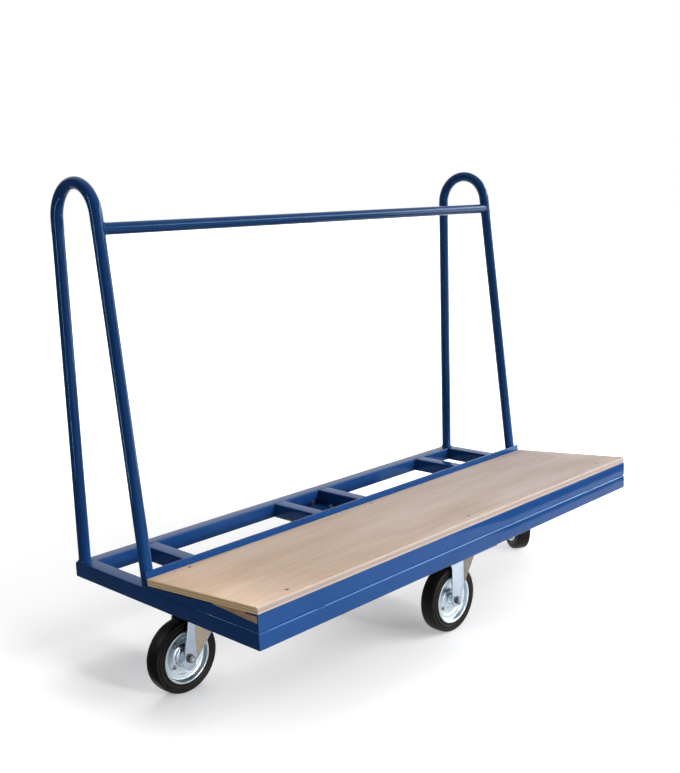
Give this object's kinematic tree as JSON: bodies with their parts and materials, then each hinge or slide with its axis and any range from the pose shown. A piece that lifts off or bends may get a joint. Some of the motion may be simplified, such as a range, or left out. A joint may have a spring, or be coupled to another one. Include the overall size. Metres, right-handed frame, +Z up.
{
  "type": "sheet goods cart",
  "caption": "Long low steel cart with a tilted plywood deck, bent-tube end hoops with a top rail to lean boards on, and castors set in a diamond.",
  "frame": {"origin": "centre of the whole cart's footprint, on the floor", "axes": "+X along the length, +Y from the deck side to the hoops' rear legs, +Z up"},
  "size_m": [1.729, 0.78, 1.3499],
  "materials": {
    "blue_paint": "semi-gloss powder coat",
    "plywood": "bare sanded veneer",
    "softwood": "bare sawn",
    "zinc_plate": "bright zinc plate",
    "wheel_zinc": "bright zinc plate, pressed",
    "screw_zinc": "zinc plate",
    "dark_steel": "greased",
    "tyre_rubber": "matte black rubber"
  },
  "bodies": {
    "chassis": {"front_rail": "blue_paint", "rear_rail": "blue_paint", "left_end_rail": "blue_paint", "right_end_rail": "blue_paint", "cross_member_left": "blue_paint", "cross_member_mid_left": "blue_paint", "cross_member_mid_right": "blue_paint", "cross_member_right": "blue_paint", "front_angle": "blue_paint", "stop_angle": "blue_paint", "deck_bearer_left": "blue_paint", "deck_bearer_mid_left": "blue_paint", "deck_bearer_mid_right": "blue_paint", "deck_bearer_right": "blue_paint", "left_hoop": "blue_paint", "right_hoop": "blue_paint", "top_rail": "blue_paint", "left_mount_plate": "blue_paint", "right_mount_plate": "blue_paint", "front_mount_plate": "blue_paint", "rear_mount_plate": "blue_paint", "deck_board": "plywood", "deck_wedge_left": "softwood", "deck_wedge_right": "softwood", "deck_screw_1": "screw_zinc", "deck_screw_2": "screw_zinc", "deck_screw_3": "screw_zinc", "deck_screw_4": "screw_zinc", "deck_screw_5": "screw_zinc", "deck_screw_6": "screw_zinc", "front_bracket": "zinc_plate", "front_axle_bolt": "zinc_plate", "front_axle_nut": "zinc_plate", "front_axle_sleeve": "dark_steel", "rear_bracket": "zinc_plate", "rear_axle_bolt": "zinc_plate", "rear_axle_nut": "zinc_plate", "rear_axle_sleeve": "dark_steel", "left_top_plate": "zinc_plate", "left_kingpin": "zinc_plate", "left_ball_race": "dark_steel", "right_top_plate": "zinc_plate", "right_kingpin": "zinc_plate", "right_ball_race": "dark_steel"},
    "left_swivel": {"left_fork": "zinc_plate", "left_axle_bolt": "zinc_plate", "left_axle_nut": "zinc_plate", "left_axle_sleeve": "dark_steel"},
    "right_swivel": {"right_fork": "zinc_plate", "right_axle_bolt": "zinc_plate", "right_axle_nut": "zinc_plate", "right_axle_sleeve": "dark_steel"},
    "front_wheel": {"front_wheel_disc": "wheel_zinc", "front_tyre": "tyre_rubber"},
    "rear_wheel": {"rear_wheel_disc": "wheel_zinc", "rear_tyre": "tyre_rubber"},
    "left_wheel": {"left_wheel_disc": "wheel_zinc", "left_tyre": "tyre_rubber"},
    "right_wheel": {"right_wheel_disc": "wheel_zinc", "right_tyre": "tyre_rubber"}
  },
  "joints": [
    {"name": "left_swivel_turn", "type": "hinge", "parent": "chassis", "child": "left_swivel", "pos_m": [-0.7015, 0, 0.212], "axis": [0, 0, 1], "continuous": true},
    {"name": "right_swivel_turn", "type": "hinge", "parent": "chassis", "child": "right_swivel", "pos_m": [0.7405, 0, 0.212], "axis": [0, 0, 1], "continuous": true},
    {"name": "left_wheel_spin", "type": "hinge", "parent": "left_swivel", "child": "left_wheel", "pos_m": [-0.7645, 0, 0.1], "axis": [0, 1, 0], "continuous": true},
    {"name": "right_wheel_spin", "type": "hinge", "parent": "right_swivel", "child": "right_wheel", "pos_m": [0.70259, -0.05031, 0.1], "axis": [-0.7986, 0.6018, 0], "continuous": true},
    {"name": "front_wheel_spin", "type": "hinge", "parent": "chassis", "child": "front_wheel", "pos_m": [-0.0195, -0.303, 0.1], "axis": [0, 1, 0], "continuous": true},
    {"name": "rear_wheel_spin", "type": "hinge", "parent": "chassis", "child": "rear_wheel", "pos_m": [-0.0195, 0.303, 0.1], "axis": [0, 1, 0], "continuous": true}
  ]
}
